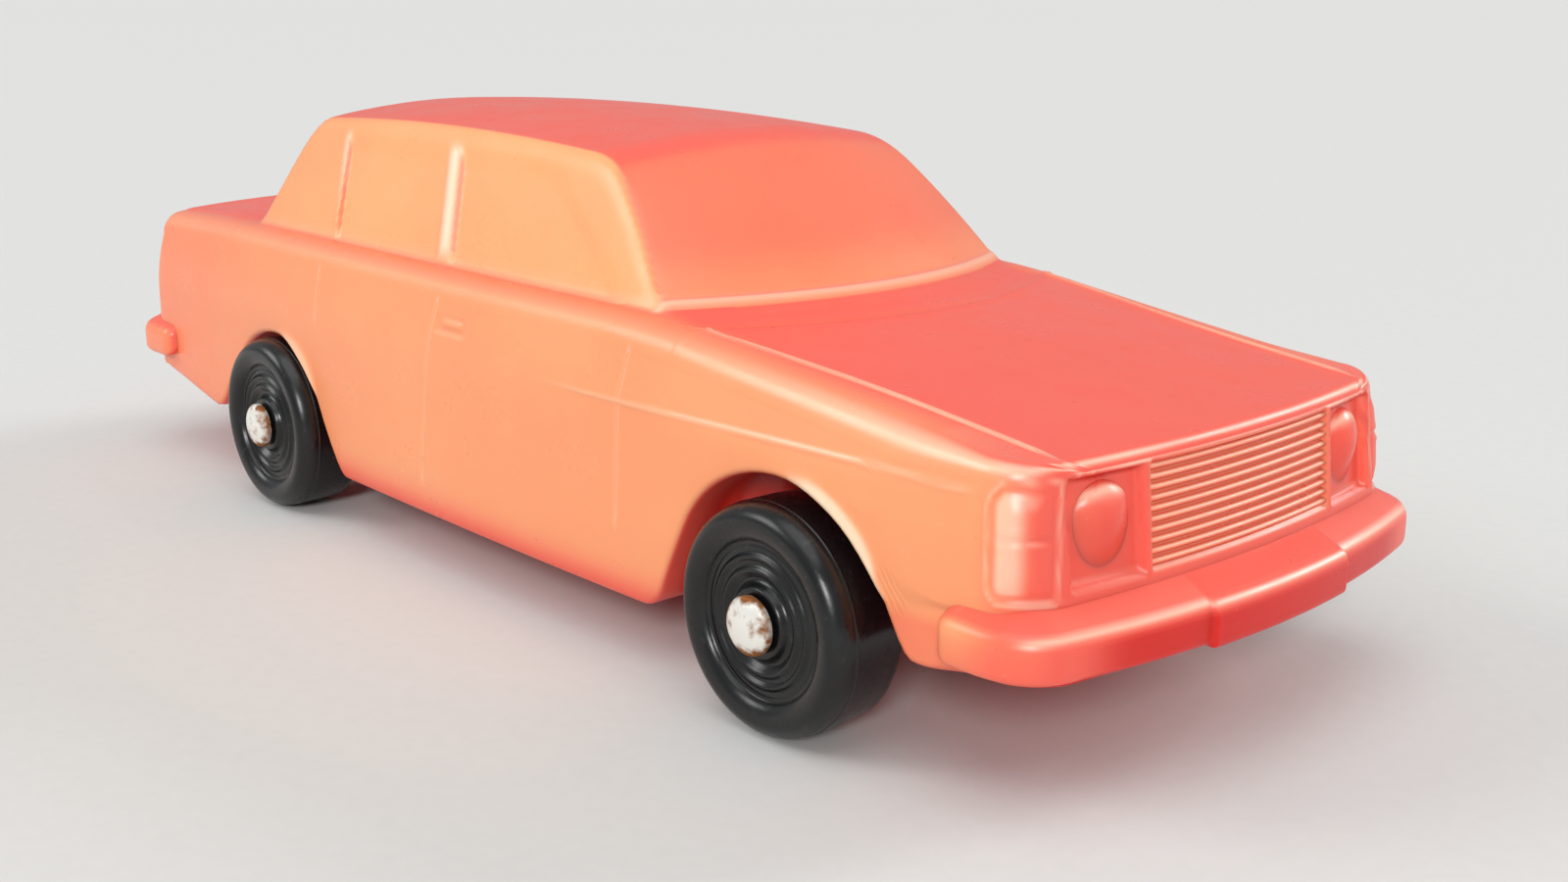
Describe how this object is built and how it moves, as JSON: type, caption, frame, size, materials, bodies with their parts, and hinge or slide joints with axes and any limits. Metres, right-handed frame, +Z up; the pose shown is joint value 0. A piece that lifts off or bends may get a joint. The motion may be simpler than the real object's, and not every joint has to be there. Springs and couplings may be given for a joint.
{
  "type": "toy saloon car",
  "caption": "Push-along toy saloon car: a hollow soft-vinyl body with bumpers, grille, lamps and windows moulded in, rolling on plastic wheels held to steel axles by domed caps.",
  "frame": {"origin": "on the ground, under the middle of the car's length and width", "axes": "+X forward towards the grille, +Y to the car's left, +Z up"},
  "size_m": [0.2, 0.0758, 0.0578],
  "materials": {
    "vinyl": "coral-red soft vinyl, semi-gloss and a little translucent",
    "wheel_plastic": "satin black moulded plastic",
    "axle_steel": "drawn steel rod",
    "plated_steel": "worn bright plating with rust at the rim"
  },
  "bodies": {
    "car_body": {"body_shell": "vinyl"},
    "front_axle_set": {"front_axle": "axle_steel", "front_right_cap": "plated_steel", "front_left_cap": "plated_steel"},
    "rear_axle_set": {"rear_axle": "axle_steel", "rear_right_cap": "plated_steel", "rear_left_cap": "plated_steel"},
    "front_right_wheel_body": {"front_right_wheel": "wheel_plastic"},
    "front_left_wheel_body": {"front_left_wheel": "wheel_plastic"},
    "rear_right_wheel_body": {"rear_right_wheel": "wheel_plastic"},
    "rear_left_wheel_body": {"rear_left_wheel": "wheel_plastic"}
  },
  "joints": [
    {"name": "front_axle_spin", "type": "hinge", "parent": "car_body", "child": "front_axle_set", "pos_m": [0.0622, 0, 0.0123], "axis": [0, 1, 0], "continuous": true},
    {"name": "rear_axle_spin", "type": "hinge", "parent": "car_body", "child": "rear_axle_set", "pos_m": [-0.0448, 0, 0.0123], "axis": [0, 1, 0], "continuous": true},
    {"name": "front_right_wheel_spin", "type": "hinge", "parent": "front_axle_set", "child": "front_right_wheel_body", "pos_m": [0.0622, -0.0315, 0.0123], "axis": [0, 1, 0], "continuous": true},
    {"name": "front_left_wheel_spin", "type": "hinge", "parent": "front_axle_set", "child": "front_left_wheel_body", "pos_m": [0.0622, 0.0315, 0.0123], "axis": [0, 1, 0], "continuous": true},
    {"name": "rear_right_wheel_spin", "type": "hinge", "parent": "rear_axle_set", "child": "rear_right_wheel_body", "pos_m": [-0.0448, -0.0315, 0.0123], "axis": [0, 1, 0], "continuous": true},
    {"name": "rear_left_wheel_spin", "type": "hinge", "parent": "rear_axle_set", "child": "rear_left_wheel_body", "pos_m": [-0.0448, 0.0315, 0.0123], "axis": [0, 1, 0], "continuous": true}
  ]
}
